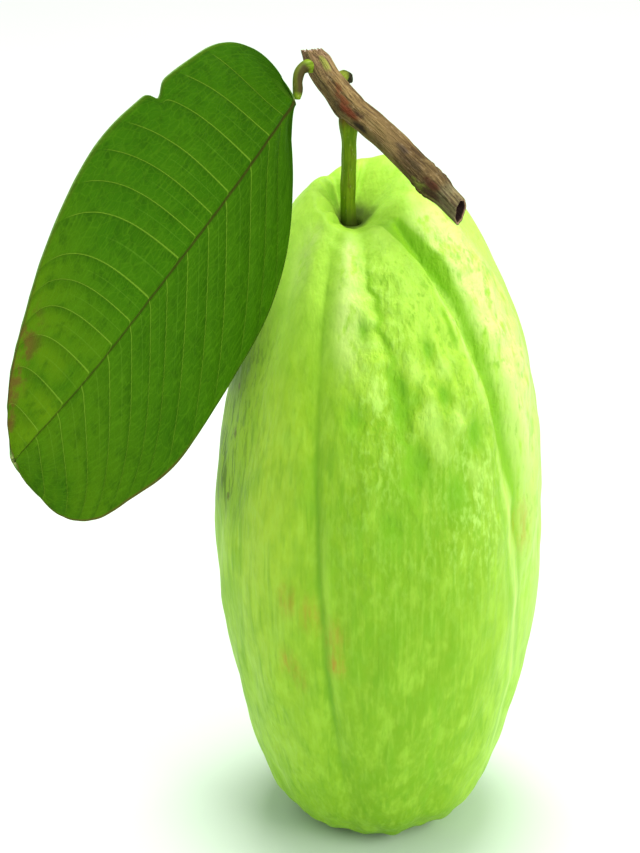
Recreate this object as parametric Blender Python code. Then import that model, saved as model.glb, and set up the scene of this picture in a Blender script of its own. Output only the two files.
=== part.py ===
# A ribbed green guava standing on its foot, with its dried calyx, stalk, cut twig, side bud and one leaf

import bmesh
import bpy
import numpy as np
from mathutils import Vector

# Lengths are in millimetres until a piece is finished
MM = 0.001
GAP = 0.3

# Fruit: half outline from the foot to the stalk socket, as radius and height
FRUIT_OUTLINE = (
    (8.9, 0.0),
    (11.3, 0.5),
    (16.1, 3.0),
    (19.6, 7.0),
    (22.5, 14.0),
    (25.5, 24.0),
    (28.2, 36.0),
    (30.1, 50.0),
    (30.4, 66.0),
    (29.3, 82.0),
    (26.9, 96.0),
    (23.0, 108.0),
    (18.8, 117.0),
    (15.2, 123.2),
    (11.5, 128.0),
    (8.9, 130.0),
    (7.0, 129.2),
    (5.0, 126.4),
    (3.4, 123.2),
    (1.85, 121.0),
)
BEARINGS = 96
BODY_RINGS = 44
RECESS_RADIUS = 7.2
RECESS_DEPTH = 1.5
SOCKET_RADIUS = 1.85
SOCKET_FLOOR = 117.6
CAVITY_X = -4.6
CAVITY_Y = -3.0
RIM_SLANT = 3.4
RIM_SLANT_BEARING = -17.0
RIM_DIP = 3.2
RIM_DIP_BEARING = -150.0
RIM_DIP_SPREAD = 48.0
FRONT_DIP = 2.1
FRONT_DIP_BEARING = -6.0
FRONT_DIP_SPREAD = 62.0

# Share of the way along the outline, from foot to socket, at some heights of the fruit
WAY_FOOT = 0.10
WAY_MIDDLE = 0.42
WAY_SHOULDER = 0.76
WAY_RIM = 0.91

# Grooves: bearings (degrees from the front, rightwards) and depths at stations of the way,
# and half widths in degrees at the middle and at the rim
BEARING_WAYS = (0.0, 0.25, 0.5, 0.7, 0.91, 1.0)
DEPTH_WAYS = (0.0, 0.1, 0.35, 0.6, 0.78, 0.91, 0.97, 1.0)
GROOVES = (
    ((72.0, 67.0, 57.0, 48.5, 39.0), (6.5, 10.5), (0.5, 1.1, 1.8, 2.4, 3.3)),
    ((27.0, 20.0, 12.0, 4.0, -7.0), (5.0, 5.5), (0.4, 0.35, 0.8, 1.2, 1.6)),
    ((-12.0, -18.5, -22.5, -27.5, -30.0), (3.4, 4.5), (0.7, 0.8, 0.9, 1.0, 1.5)),
    ((-60.0, -59.0, -58.0, -57.0, -55.0), (8.0, 9.0), (0.5, 0.7, 0.9, 1.2, 1.8)),
    ((-101.0, -99.0, -98.0, -99.0, -103.0), (7.0, 10.0), (0.3, 0.6, 0.8, 0.9, 0.6)),
    ((-140.0, -141.0, -141.0, -140.0, -138.0), (9.0, 9.0), (0.4, 0.9, 1.1, 1.3, 1.0)),
    ((176.0, 175.0, 174.0, 173.0, 170.0), (7.0, 8.0), (0.2, 0.6, 0.8, 1.0, 0.8)),
    ((139.0, 136.0, 133.0, 131.0, 128.0), (8.0, 9.0), (0.4, 1.0, 1.2, 1.5, 1.9)),
    ((98.0, 96.0, 93.0, 90.0, 84.0), (6.0, 9.0), (0.9, 0.6, 0.6, 1.0, 1.6)),
    ((24.0, 27.0, 30.0, 31.0, 22.0), (4.5, 5.0), (0.3, 0.1, 0.3, 0.7, 0.2)),
)

# Calyx
CALYX_RADIUS = 6.8
CALYX_WAIST = 4.6
CALYX_HEIGHT = 1.1
CALYX_ROUNDING = 0.25
SEPALS = 5

# Fruit stalk
STALK_LINE = (
    (-4.7, -3.05, 118.0),
    (-5.2, -3.3, 127.3),
    (-5.1, -3.55, 138.0),
    (-5.3, -3.7, 144.6),
)
STALK_RADIUS = 1.3

# Twig, from its torn upper end to the hollow lower end
TWIG_LINE = (
    (-11.8, 2.8, 153.7),
    (-10.4, 1.8, 151.5),
    (-9.0, 0.6, 149.4),
    (-7.4, -0.8, 147.7),
    (-5.3, -2.6, 145.5),
    (-1.1, -6.2, 143.0),
    (3.6, -10.8, 140.0),
    (7.7, -14.8, 137.0),
    (11.0, -18.0, 134.7),
    (14.1, -20.9, 132.3),
)
TWIG_RADIUS = 2.45
PITH_RADIUS = 1.1
PITH_DEPTH = 3.0
CUT_FACING = np.array([0.87, -0.48, -0.05])
NODE_TURN = 3.6

# Side bud
BUD_LINE = ((-7.3, 0.4, 148.1), (-5.8, 2.3, 149.0), (-4.7, 2.9, 147.9))
BUD_RADIUS = 1.1

# Leaf stalk
LEAF_STALK_LINE = (
    (-10.0, 1.4, 150.3),
    (-12.2, 0.4, 151.6),
    (-13.6, -0.7, 151.1),
    (-14.2, -2.0, 149.7),
    (-14.2, -3.0, 148.2),
    (-14.2, -3.8, 147.1),
)
LEAF_STALK_RADIUS = 0.95

# Leaf blade: midrib from base to tip, the directions across its two halves, and half widths along it
LEAF_MIDRIB = (
    (-14.6, -4.4, 146.6),
    (-25.8, -22.0, 135.9),
    (-37.2, -37.9, 125.5),
    (-48.5, -52.1, 115.2),
    (-60.5, -64.4, 105.3),
)
UPPER_ACROSS = Vector((-0.231, -0.284, 0.930))
LOWER_ACROSS = Vector((0.261, 0.121, -0.958))
UPPER_HALF = (0.5, 8.7, 17.1, 24.3, 28.3, 30.6, 31.7, 29.9, 25.9, 19.3, 12.5, 4.6, 0.5)
LOWER_HALF = (0.5, 1.8, 12.0, 21.1, 26.4, 28.3, 28.8, 28.4, 25.6, 22.8, 16.5, 6.2, 0.5)
BLADE_THICKNESS = 0.7
BLADE_ROWS = 55
BLADE_COLUMNS = 16
NOTCH_PLACE = 0.34
NOTCH_DEPTH = 2.4
SIDE_VEINS = 12
VEIN_LEAN = 0.22
QUILTING = 0.3


def smooth_curve(stations, values, places):
    """Smooth line through values at the stations, read at the places"""
    stations = np.asarray(stations, float)
    values = np.asarray(values, float)
    places = np.clip(np.asarray(places, float), stations[0], stations[-1])
    slopes = np.gradient(values, stations, axis=0)
    piece = np.clip(np.searchsorted(stations, places, side="right") - 1, 0, len(stations) - 2)
    span = stations[piece + 1] - stations[piece]
    t = (places - stations[piece]) / span
    if values.ndim > 1:
        t = t[..., None]
        span = span[..., None]
    start_weight = 2 * t**3 - 3 * t**2 + 1
    leave_weight = t**3 - 2 * t**2 + t
    arrive_weight = t**3 - t**2
    return (
        start_weight * values[piece]
        + leave_weight * slopes[piece] * span
        + (1 - start_weight) * values[piece + 1]
        + arrive_weight * slopes[piece + 1] * span
    )


def length_shares(points):
    """Share of a line's length at each of its points"""
    steps = np.linalg.norm(np.diff(np.asarray(points, float), axis=0), axis=1)
    length = np.concatenate([[0.0], np.cumsum(steps)])
    return length / length[-1]


def finish_piece(name, bm, colour, roughness):
    """Turns a mesh in millimetres into a smooth object with its own material"""
    bmesh.ops.scale(bm, vec=(MM, MM, MM), verts=bm.verts)
    mesh = bpy.data.meshes.new(name)
    bm.to_mesh(mesh)
    bm.free()
    mesh.shade_smooth()
    material = bpy.data.materials.new(name + "_skin")
    material.use_nodes = True
    shader = material.node_tree.nodes["Principled BSDF"]
    shader.inputs["Base Color"].default_value = (*colour, 1.0)
    shader.inputs["Roughness"].default_value = roughness
    shader.inputs["Metallic"].default_value = 0.0
    mesh.materials.append(material)
    piece = bpy.data.objects.new(name, mesh)
    bpy.context.scene.collection.objects.link(piece)
    return piece


def groove_change(bearing, way):
    """How far the skin sinks in the grooves and swells between them"""
    change = smooth_curve(
        (0.0, WAY_FOOT, WAY_MIDDLE, WAY_SHOULDER, WAY_RIM, 1.0), (0.0, 0.5, 0.75, 0.3, 1.55, 0.0), way
    )
    for bearings, widths, depths in GROOVES:
        line = smooth_curve(BEARING_WAYS, (*bearings, bearings[-1]), way)
        width = smooth_curve((0.0, WAY_MIDDLE, WAY_RIM, 1.0), (widths[0], widths[0], widths[1], 14.0), way)
        depth = smooth_curve(DEPTH_WAYS, (0.0, *depths, 0.5, 0.0), way)
        off = (bearing - line + 180.0) % 360.0 - 180.0
        change -= depth * np.exp(1.0 - np.hypot(off / width, 1.0))
    return change


def skin_lumps(turn, way):
    """Low swellings that keep the fruit from looking turned"""
    lumps = 0.35 * np.sin(2 * turn + 5 * way + 0.6)
    lumps += 0.22 * np.sin(5 * turn - 9 * way + 1.9)
    lumps += 0.16 * np.sin(11 * turn + 4.0) * np.sin(31 * way + 2 * turn)
    lumps += 0.14 * np.sin(17 * turn - 40 * way + 1.0)
    return lumps * np.sin(np.pi * np.clip(way / 0.9, 0.0, 1.0)) ** 0.7


def fruit_half_outline():
    """Points from the middle of the calyx recess to the middle of the socket floor: radius, height, way"""
    share = np.linspace(0.0, 1.0, BODY_RINGS)
    ways = share + 0.055 * np.sin(2 * np.pi * share) + 0.045 * np.sin(np.pi * share)
    ways = np.clip(ways, 0.0, 1.0)
    body = smooth_curve(length_shares(FRUIT_OUTLINE), FRUIT_OUTLINE, ways)
    recess = [
        (0.0, RECESS_DEPTH, 0.0),
        (RECESS_RADIUS / 2, RECESS_DEPTH, 0.0),
        (RECESS_RADIUS, RECESS_DEPTH, 0.0),
        (RECESS_RADIUS, 0.0, 0.0),
    ]
    socket = [(SOCKET_RADIUS, SOCKET_FLOOR, 1.0), (0.0, SOCKET_FLOOR, 1.0)]
    return recess + [(*point, way) for point, way in zip(body, ways)] + socket


def make_fruit():
    """The fruit, spun from its half outline, then ribbed, lumped and slanted at the rim"""
    bm = bmesh.new()
    way_layer = bm.verts.layers.float.new("way")
    last = None
    for radius, height, way in fruit_half_outline():
        vert = bm.verts.new((0.0, -radius, height))
        vert[way_layer] = way
        if last:
            bm.edges.new((last, vert))
        last = vert
    bmesh.ops.spin(
        bm,
        geom=bm.verts[:] + bm.edges[:],
        axis=(0.0, 0.0, 1.0),
        angle=2 * np.pi,
        steps=BEARINGS,
        use_merge=True,
    )
    bmesh.ops.remove_doubles(bm, verts=bm.verts, dist=0.001)
    bmesh.ops.recalc_face_normals(bm, faces=bm.faces)
    bm.normal_update()
    place = np.array([vert.co for vert in bm.verts])
    outward = np.array([vert.normal for vert in bm.verts])
    way = np.array([vert[way_layer] for vert in bm.verts])
    turn = np.arctan2(place[:, 0], -place[:, 1])
    change = groove_change(np.degrees(turn), way) + skin_lumps(turn, way)
    change *= np.clip(way / 0.05, 0.0, 1.0) * (way < 1.0)
    collar = 0.35 * np.sin(7 * turn + 0.8) * np.exp(-(((way - 0.02) / 0.02) ** 2)) * (way > 0.0)
    place += outward * (change + collar)[:, None]
    place[:, 0] += smooth_curve(
        (0.0, 0.05, 0.2, 0.45, WAY_SHOULDER, WAY_RIM, 1.0), (0.0, 0.6, 1.0, 0.9, 0.8, -1.8, CAVITY_X), way
    )
    place[:, 1] += smooth_curve((0.0, WAY_SHOULDER, WAY_RIM, 1.0), (0.0, 0.0, -1.6, CAVITY_Y), way)
    near_rim = smooth_curve((0.0, 0.62, 0.8, WAY_RIM, 0.97, 1.0), (0.0, 0.0, 0.6, 1.0, 0.3, 0.0), way)
    inside_rim = smooth_curve((0.0, 0.84, 0.89, 0.94, 0.975, 1.0), (0.0, 0.0, 0.3, 1.0, 0.6, 0.0), way)
    past_dip = (np.degrees(turn) - RIM_DIP_BEARING + 180.0) % 360.0 - 180.0
    past_front = np.degrees(turn) - FRONT_DIP_BEARING
    place[:, 2] -= RIM_SLANT * near_rim * np.cos(turn - np.radians(RIM_SLANT_BEARING))
    place[:, 2] -= RIM_DIP * near_rim * np.exp(-((past_dip / RIM_DIP_SPREAD) ** 2))
    place[:, 2] -= FRONT_DIP * inside_rim * np.exp(-((past_front / FRONT_DIP_SPREAD) ** 2))
    for vert, co in zip(bm.verts, place):
        vert.co = co
    return finish_piece("fruit", bm, (0.36, 0.62, 0.06), 0.42)


def make_calyx():
    """The dried calyx: a flat star of sepals that fills the recess under the fruit"""
    bm = bmesh.new()
    around = 60
    star = []
    for bearing in np.arange(around) * 2 * np.pi / around:
        lobe = abs(np.cos(bearing * SEPALS / 2)) ** 0.6
        radius = CALYX_WAIST + (CALYX_RADIUS - CALYX_WAIST) * lobe
        star.append(bm.verts.new((radius * np.sin(bearing), -radius * np.cos(bearing), 0.0)))
    under = bm.faces.new(star)
    raised = bmesh.ops.extrude_face_region(bm, geom=[under], use_keep_orig=True)
    top = [item for item in raised["geom"] if isinstance(item, bmesh.types.BMVert)]
    bmesh.ops.translate(bm, vec=(0.0, 0.0, CALYX_HEIGHT), verts=top)
    rims = [edge for edge in bm.edges if abs(edge.verts[0].co.z - edge.verts[1].co.z) < 0.001]
    bmesh.ops.bevel(bm, geom=rims, offset=CALYX_ROUNDING, segments=1, affect="EDGES")
    flats = [face for face in bm.faces if len(face.verts) > 4]
    bmesh.ops.poke(bm, faces=flats)
    bmesh.ops.recalc_face_normals(bm, faces=bm.faces)
    return finish_piece("calyx", bm, (0.12, 0.075, 0.03), 0.85)


def swept_rings(line, places, radii, around):
    """Rings of points along a smooth line, and its direction at each; a radius may vary round its ring"""
    stations = length_shares(line)
    centres = smooth_curve(stations, line, places)
    ahead = smooth_curve(stations, line, np.minimum(places + 0.01, 1.0))
    behind = smooth_curve(stations, line, np.maximum(places - 0.01, 0.0))
    bearing = np.arange(around) * 2 * np.pi / around
    side = Vector((0.3, 1.0, 0.2))
    rings = []
    directions = []
    for centre, step, radius in zip(centres, ahead - behind, radii):
        forward = Vector(step).normalized()
        side = (side - forward * side.dot(forward)).normalized()
        up = forward.cross(side)
        across = np.outer(radius * np.cos(bearing), side) + np.outer(radius * np.sin(bearing), up)
        rings.append(centre + across)
        directions.append(np.array(forward))
    return rings, directions


def tube(rings, start, end):
    """A closed body made of rings, with a point closing each end"""
    bm = bmesh.new()
    loops = [[bm.verts.new(point) for point in ring] for ring in rings]
    first = bm.verts.new(start)
    last = bm.verts.new(end)
    around = len(loops[0])
    for k in range(around):
        after = (k + 1) % around
        bm.faces.new((first, loops[0][after], loops[0][k]))
        for here, there in zip(loops, loops[1:]):
            bm.faces.new((here[k], here[after], there[after], there[k]))
        bm.faces.new((loops[-1][k], loops[-1][after], last))
    bmesh.ops.recalc_face_normals(bm, faces=bm.faces)
    return bm


def twig_rings(growth):
    """Rings of the twig, knotted where the stalk, the bud and the leaf stalk leave it"""
    around = 20
    places = np.concatenate([np.linspace(0.0, 0.06, 4), np.linspace(0.09, 0.955, 34), [0.985, 1.0]])
    bearing = np.arange(around) * 2 * np.pi / around
    radii = []
    for place in places:
        knot = 0.10 * np.exp(-(((place - 0.29) / 0.05) ** 2)) - 0.3 * np.exp(-((place / 0.04) ** 2))
        knot += 0.06 * np.exp(-(((place - 0.80) / 0.045) ** 2)) - 0.06 * np.clip(place / 0.1 - 8.5, 0.0, 1.0)
        ridge = 0.035 * np.sin(3 * bearing + 7 * place) + 0.03 * np.sin(7 * bearing - 5 * place)
        node = 0.15 * np.exp(-(((place - 0.80) / 0.04) ** 2)) * np.clip(np.cos(bearing - NODE_TURN), 0.0, 1.0)
        radii.append(TWIG_RADIUS * (1.0 + knot + ridge + node) + growth)
    rings, directions = swept_rings(TWIG_LINE, places, radii, around)
    for k in range(1, 8):
        off = (rings[-k] - rings[-k].mean(axis=0)) @ CUT_FACING / (directions[-k] @ CUT_FACING)
        rings[-k] -= np.outer(off * (1.0 - (k - 1) / 7), directions[-k])
    return rings, directions


def make_twig():
    """The twig: torn at one end, cut across its hollow pith at the other"""
    rings, directions = twig_rings(0.0)
    torn = 0.35 * np.sin(np.arange(len(rings[0])) * 2.4)
    for k in range(4):
        lean = (rings[k] - rings[k].mean(axis=0)) @ np.array([-0.4, 0.0, -0.25])
        rings[k] -= np.outer((lean + torn) * (1.0 - k / 4), directions[k])
    end = rings[-1].mean(axis=0)
    forward = directions[-1]
    spokes = rings[-1] - end
    mouth = spokes * PITH_RADIUS / TWIG_RADIUS
    rings.append(end + spokes * 0.93 + forward * 0.15)
    rings.append(end + mouth - forward * 0.1)
    rings.append(end + mouth * 0.85 - forward * PITH_DEPTH)
    start = rings[0].mean(axis=0) + directions[0] * 0.5
    bm = tube(rings, start, end - forward * (PITH_DEPTH + 0.2))
    return finish_piece("twig", bm, (0.16, 0.085, 0.045), 0.8)


def make_twig_cutter():
    """The twig grown by the gap, to cut back what meets it"""
    rings, directions = twig_rings(GAP)
    start = rings[0].mean(axis=0) - directions[0]
    bm = tube(rings, start, rings[-1].mean(axis=0) + directions[-1])
    cutter = finish_piece("twig_cutter", bm, (0.5, 0.5, 0.5), 0.5)
    cutter.hide_render = True
    cutter.display_type = "WIRE"
    return cutter


def make_shoot(name, line, places, radii, around, cutter, colour, roughness):
    """A round shoot along a line, cut back where it meets the twig"""
    rings, directions = swept_rings(line, places, radii, around)
    start = rings[0].mean(axis=0) - directions[0] * 0.08
    bm = tube(rings, start, rings[-1].mean(axis=0) + directions[-1] * 0.08)
    shoot = finish_piece(name, bm, colour, roughness)
    cut = shoot.modifiers.new("cut", "BOOLEAN")
    cut.operation = "DIFFERENCE"
    cut.object = cutter
    return shoot


def make_shoots(cutter):
    """The fruit stalk, the blunt side bud and the hooked leaf stalk"""
    places = np.linspace(0.0, 1.0, 16)
    bearing = np.arange(16) * 2 * np.pi / 16
    flare = 0.34 * np.exp(-(((places - 0.86) / 0.12) ** 2)) + 0.06 * np.sin(5 * places)
    flare *= places > 0.2
    ridges = 0.05 * np.sin(4 * bearing + 3 * places[:, None])
    radii = STALK_RADIUS * (1.0 + flare[:, None]) + ridges
    make_shoot("fruit_stalk", STALK_LINE, places, radii, 16, cutter, (0.20, 0.26, 0.05), 0.55)

    places = np.linspace(0.0, 1.0, 9)
    radii = BUD_RADIUS * np.array([1.25, 1.2, 1.1, 1.02, 1.0, 0.98, 0.9, 0.72, 0.4])
    make_shoot("side_bud", BUD_LINE, places, radii, 14, cutter, (0.22, 0.25, 0.06), 0.7)

    places = np.linspace(0.0, 1.0, 22)
    swelling = smooth_curve((0.0, 0.25, 0.45, 0.7, 0.93, 1.0), (1.35, 1.3, 1.05, 0.95, 0.85, 0.65), places)
    radii = LEAF_STALK_RADIUS * swelling
    make_shoot("leaf_stalk", LEAF_STALK_LINE, places, radii, 14, cutter, (0.28, 0.32, 0.05), 0.55)


def vein_place(along, share):
    """Where the side vein through a point of the blade leaves the midrib"""
    table = np.linspace(0.0, 1.0, 200)
    lean = VEIN_LEAN * np.sin(np.pi * np.minimum(table * 1.15 + 0.08, 1.0))
    return np.interp(along, table + lean * share**1.7, table)


def blade_point(along, across):
    """Point of the blade, along it from base to tip and across from -1 (lower edge) to 1 (upper edge)"""
    upper = across > 0
    share = abs(across)
    midrib = Vector(smooth_curve(np.linspace(0.0, 1.0, 5), LEAF_MIDRIB, along))
    angle = np.arccos(1.0 - 2.0 * along) / np.pi
    half = smooth_curve(np.linspace(0.0, 1.0, 13), UPPER_HALF if upper else LOWER_HALF, angle)
    if upper:
        half -= NOTCH_DEPTH * share**6 * np.exp(-(((along - NOTCH_PLACE) / 0.016) ** 2))
    length = Vector(LEAF_MIDRIB[-1]) - Vector(LEAF_MIDRIB[0])
    facing = UPPER_ACROSS.cross(length).normalized()
    vein = vein_place(along, share)
    quilt = QUILTING * abs(np.sin(np.pi * SIDE_VEINS * vein)) * np.sin(np.pi * share) ** 0.5
    bow = -0.9 * np.sin(np.pi * share) - 1.0 * share**3
    wave = 0.7 * share**3 * np.sin(9.0 * along + (0.0 if upper else 2.0)) * np.sin(np.pi * along)
    rib = -0.25 * np.exp(-((share * half / 0.9) ** 2))
    rise = (bow + wave + quilt + rib) * min(1.0, half / 6.0)
    return midrib + (UPPER_ACROSS if upper else LOWER_ACROSS) * (half * share) + facing * rise


def make_leaf_blade():
    """The leaf blade: folded along its midrib, quilted between its veins, notched in its upper edge"""
    bm = bmesh.new()
    bmesh.ops.create_grid(bm, x_segments=BLADE_ROWS, y_segments=BLADE_COLUMNS, size=0.5)
    for vert in bm.verts:
        along = (1.0 - np.cos(np.pi * np.clip(vert.co.x + 0.5, 0.0, 1.0))) / 2.0
        across = np.sign(vert.co.y) * abs(2.0 * vert.co.y) ** 0.85
        vert.co = blade_point(along, across)
    bmesh.ops.triangulate(bm, faces=bm.faces, quad_method="FIXED")
    blade = finish_piece("leaf_blade", bm, (0.07, 0.19, 0.015), 0.45)
    wall = blade.modifiers.new("wall", "SOLIDIFY")
    wall.thickness = BLADE_THICKNESS * MM
    wall.offset = 0.0
    return blade


def main():
    for thing in list(bpy.data.objects):
        bpy.data.objects.remove(thing, do_unlink=True)
    make_fruit()
    make_calyx()
    make_twig()
    make_shoots(make_twig_cutter())
    make_leaf_blade()


main()
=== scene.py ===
# A ribbed green guava with its calyx, stalk, cut twig, bud and one leaf, dressed for its photograph

import bpy
import bmesh
import numpy as np
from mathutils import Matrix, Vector, noise


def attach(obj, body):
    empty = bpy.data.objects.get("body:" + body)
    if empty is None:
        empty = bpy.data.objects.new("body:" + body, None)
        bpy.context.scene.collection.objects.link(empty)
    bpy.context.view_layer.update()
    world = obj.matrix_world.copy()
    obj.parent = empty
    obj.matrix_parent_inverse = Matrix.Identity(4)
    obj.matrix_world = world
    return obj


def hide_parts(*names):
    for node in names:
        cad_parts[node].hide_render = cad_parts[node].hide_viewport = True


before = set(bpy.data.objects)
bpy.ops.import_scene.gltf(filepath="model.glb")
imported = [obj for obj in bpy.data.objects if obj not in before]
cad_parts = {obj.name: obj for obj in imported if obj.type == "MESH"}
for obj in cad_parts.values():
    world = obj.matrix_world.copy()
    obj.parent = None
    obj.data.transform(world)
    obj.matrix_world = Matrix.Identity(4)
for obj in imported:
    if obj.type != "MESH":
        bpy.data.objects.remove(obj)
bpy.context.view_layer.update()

# Lengths are in millimetres until a piece is placed
MM = 0.001

# Fruit: half outline from the foot to the stalk socket, as radius and height
FRUIT_OUTLINE = (
    (8.9, 0.0), (11.3, 0.5), (16.1, 3.0), (19.6, 7.0), (22.5, 14.0), (25.5, 24.0),
    (28.2, 36.0), (30.1, 50.0), (30.4, 66.0), (29.3, 82.0), (26.9, 96.0), (23.0, 108.0),
    (18.8, 117.0), (15.2, 123.2), (11.5, 128.0), (8.9, 130.0), (7.0, 129.3), (5.0, 127.4),
    (3.4, 125.2), (1.85, 123.2),
)
RECESS = ((0.0, 1.5), (3.0, 1.5), (6.5, 1.5), (7.0, 1.4), (7.2, 1.0), (7.2, 0.3), (7.3, 0.06), (7.6, 0.0))
SOCKET = ((1.85, 120.0), (1.85, 118.6), (1.8, 117.8), (1.2, 117.6), (0.0, 117.6))
AROUND = 288
RINGS = 300
CAVITY_X = -4.6
CAVITY_Y = -3.0
RIM_SLANT = 3.4
RIM_SLANT_BEARING = -17.0
RIM_DIP = 3.2
RIM_DIP_BEARING = -150.0
RIM_DIP_SPREAD = 48.0
FRONT_DIP = 3.2
FRONT_DIP_BEARING = -6.0
FRONT_DIP_SPREAD = 62.0
WAY_FOOT = 0.1
WAY_MIDDLE = 0.42
WAY_SHOULDER = 0.76
WAY_RIM = 0.91

# Grooves: bearings (degrees from the front, rightwards) and depths at stations of the way,
# and half widths in degrees at the middle and at the rim
BEARING_WAYS = (0.0, 0.25, 0.5, 0.7, 0.91, 1.0)
DEPTH_WAYS = (0.0, 0.1, 0.35, 0.6, 0.78, 0.91, 0.97, 1.0)
GROOVES = (
    ((72.0, 67.0, 57.0, 48.5, 40.0), (5.5, 9.5), (0.5, 1.1, 1.8, 2.4, 3.3)),
    ((27.0, 20.0, 12.0, 4.0, -4.0), (6.5, 8.0), (0.4, 0.3, 0.6, 0.9, 1.3)),
    ((-12.0, -18.5, -22.5, -27.5, -30.0), (5.0, 8.0), (0.6, 0.6, 0.7, 0.8, 1.3)),
    ((-60.0, -59.0, -58.0, -57.0, -55.0), (8.0, 9.0), (0.5, 0.7, 0.9, 1.2, 1.8)),
    ((-101.0, -99.0, -98.0, -99.0, -103.0), (7.0, 10.0), (0.3, 0.6, 0.8, 0.9, 0.6)),
    ((-140.0, -141.0, -141.0, -140.0, -138.0), (9.0, 9.0), (0.4, 0.9, 1.1, 1.3, 1.0)),
    ((176.0, 175.0, 174.0, 173.0, 170.0), (7.0, 8.0), (0.2, 0.6, 0.8, 1.0, 0.8)),
    ((139.0, 136.0, 133.0, 131.0, 128.0), (8.0, 9.0), (0.4, 1.0, 1.2, 1.5, 1.9)),
    ((98.0, 96.0, 93.0, 90.0, 84.0), (6.0, 9.0), (0.9, 0.6, 0.6, 1.0, 1.6)),
    ((24.0, 27.0, 30.0, 31.0, 22.0), (4.5, 5.0), (0.3, 0.1, 0.3, 0.7, 0.2)),
)

# Small hollows in the warty skin, and bumps (below zero): bearing, way, radius and depth
HOLLOWS = (
    (20.0, 0.752, 1.2, 0.45), (23.5, 0.689, 1.4, 0.5), (13.0, 0.687, 1.1, 0.35),
    (5.5, 0.705, 1.7, 0.5), (6.5, 0.668, 1.5, 0.45), (35.5, 0.633, 1.7, 0.45),
    (-8.5, 0.782, 1.3, 0.35), (13.0, 0.6, 2.2, 0.35), (27.0, 0.56, 2.2, 0.35),
    (-12.0, 0.66, 1.6, 0.3), (3.0, 0.52, 2.0, 0.3), (17.0, 0.667, 2.0, -0.4),
    (25.5, 0.722, 1.5, -0.3), (12.0, 0.725, 1.5, -0.3), (29.0, 0.655, 1.6, -0.35),
    (-3.5, 0.7, 1.4, -0.3), (20.0, 0.62, 1.8, -0.3), (34.0, 0.58, 1.5, -0.3),
)

# Blush and spots on the skin: bearing, way, radius and strength; marks are drawn out in height
MARK_HEIGHT = 0.55
BLUSHES = (
    (-33.0, 0.415, 2.6, 0.6), (-25.0, 0.401, 3.0, 0.6), (-16.0, 0.375, 3.0, 0.5),
    (-16.0, 0.338, 2.2, 0.9), (-34.5, 0.33, 2.6, 0.65), (-30.0, 0.31, 2.0, 0.4),
    (61.0, 0.487, 4.0, 0.5), (120.0, 0.36, 5.0, 0.6), (-150.0, 0.45, 4.5, 0.6),
    (175.0, 0.62, 3.5, 0.5),
)
SPOTS = (
    (-67.5, 0.6, 0.9), (-68.5, 0.513, 0.7), (-71.0, 0.66, 0.6), (100.0, 0.55, 0.8),
    (155.0, 0.3, 0.9), (-120.0, 0.7, 0.8), (-160.0, 0.2, 0.7),
)

# Calyx
CALYX_RADIUS = 6.8
CALYX_WAIST = 4.6
CALYX_RINGS = 26
SEPALS = 5

# Fruit stalk
STALK_LINE = (
    (-4.7, -3.05, 118.0), (-5.2, -3.3, 127.3), (-5.1, -3.55, 138.0), (-5.3, -3.4, 145.4),
)
STALK_RADIUS = 1.3

# Twig, from its torn upper end to the hollow lower end
TWIG_LINE = (
    (-11.8, 2.8, 153.7), (-10.4, 1.8, 151.5), (-9.0, 0.6, 149.4), (-7.4, -0.8, 147.7),
    (-5.3, -2.6, 145.5), (-1.1, -6.2, 143.0), (3.6, -10.8, 140.0), (7.7, -14.8, 137.0),
    (11.0, -18.0, 134.7), (14.1, -20.9, 132.3),
)
TWIG_RADIUS = 2.45
CUT_FACING = np.array([0.87, -0.48, -0.05])
NODE_TURN = 3.6
TWIG_LENGTH = 41.6
TWIG_RINGS = 210

# Rings past the twig's torn end and in its hollow end, as share of the radius and length forward
TWIG_TORN = ((0.12, 0.9), (0.35, 0.6), (0.6, 0.75), (0.8, 0.35), (0.93, 0.08))
TWIG_MOUTH = (
    (0.985, 0.08), (0.93, 0.15), (0.86, 0.1), (0.8, -0.1), (0.75, -0.6), (0.7, -1.6),
    (0.55, -2.7), (0.25, -3.0),
)

# Marks on the bark: place along the twig, turn around it in degrees, half width, strength and colour
TWIG_MARKS = (
    (0.085, 126.0, 0.7, 0.7, (0.28, 0.32, 0.045)),
    (0.22, 138.0, 0.5, 0.65, (0.2, 0.06, 0.02)),
    (0.28, 156.0, 0.7, 0.8, (0.17, 0.042, 0.013)),
    (0.34, 176.0, 0.9, 0.9, (0.16, 0.03, 0.01)),
    # The next two marks are painted shade beside the fruit stalk's joint
    (0.375, 160.0, 0.5, 0.8, (0.055, 0.024, 0.014)),
    (0.415, -160.0, 0.7, 0.9, (0.03, 0.016, 0.01)),
    (0.64, 140.0, 0.6, 0.75, (0.065, 0.042, 0.026)),
    (0.68, 165.0, 0.8, 0.7, (0.08, 0.046, 0.02)),
    (0.74, 150.0, 0.7, 0.65, (0.075, 0.05, 0.024)),
    (0.817, -166.0, 0.8, 0.9, (0.24, 0.29, 0.035)),
    (0.8, 172.0, 0.35, 0.8, (0.05, 0.026, 0.014)),
    (0.85, 160.0, 0.75, 0.9, (0.085, 0.026, 0.012)),
    (0.865, -163.0, 0.95, 0.9, (0.05, 0.02, 0.011)),
    (0.95, 165.0, 0.35, 0.7, (0.07, 0.05, 0.03)),
    (0.93, 120.0, 0.3, 0.6, (0.45, 0.4, 0.24)),
)

# Side bud and leaf stalk
BUD_LINE = ((-7.3, 0.4, 148.1), (-5.8, 2.3, 149.0), (-4.7, 2.9, 147.9))
BUD_RADIUS = 1.1
LEAF_STALK_LINE = (
    (-10.0, 1.4, 150.3), (-12.2, 0.4, 151.6), (-13.6, -0.7, 151.1), (-14.2, -2.0, 149.7),
    (-14.2, -3.0, 148.2), (-14.3, -3.9, 147.0),
)
LEAF_STALK_RADIUS = 0.95

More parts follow.
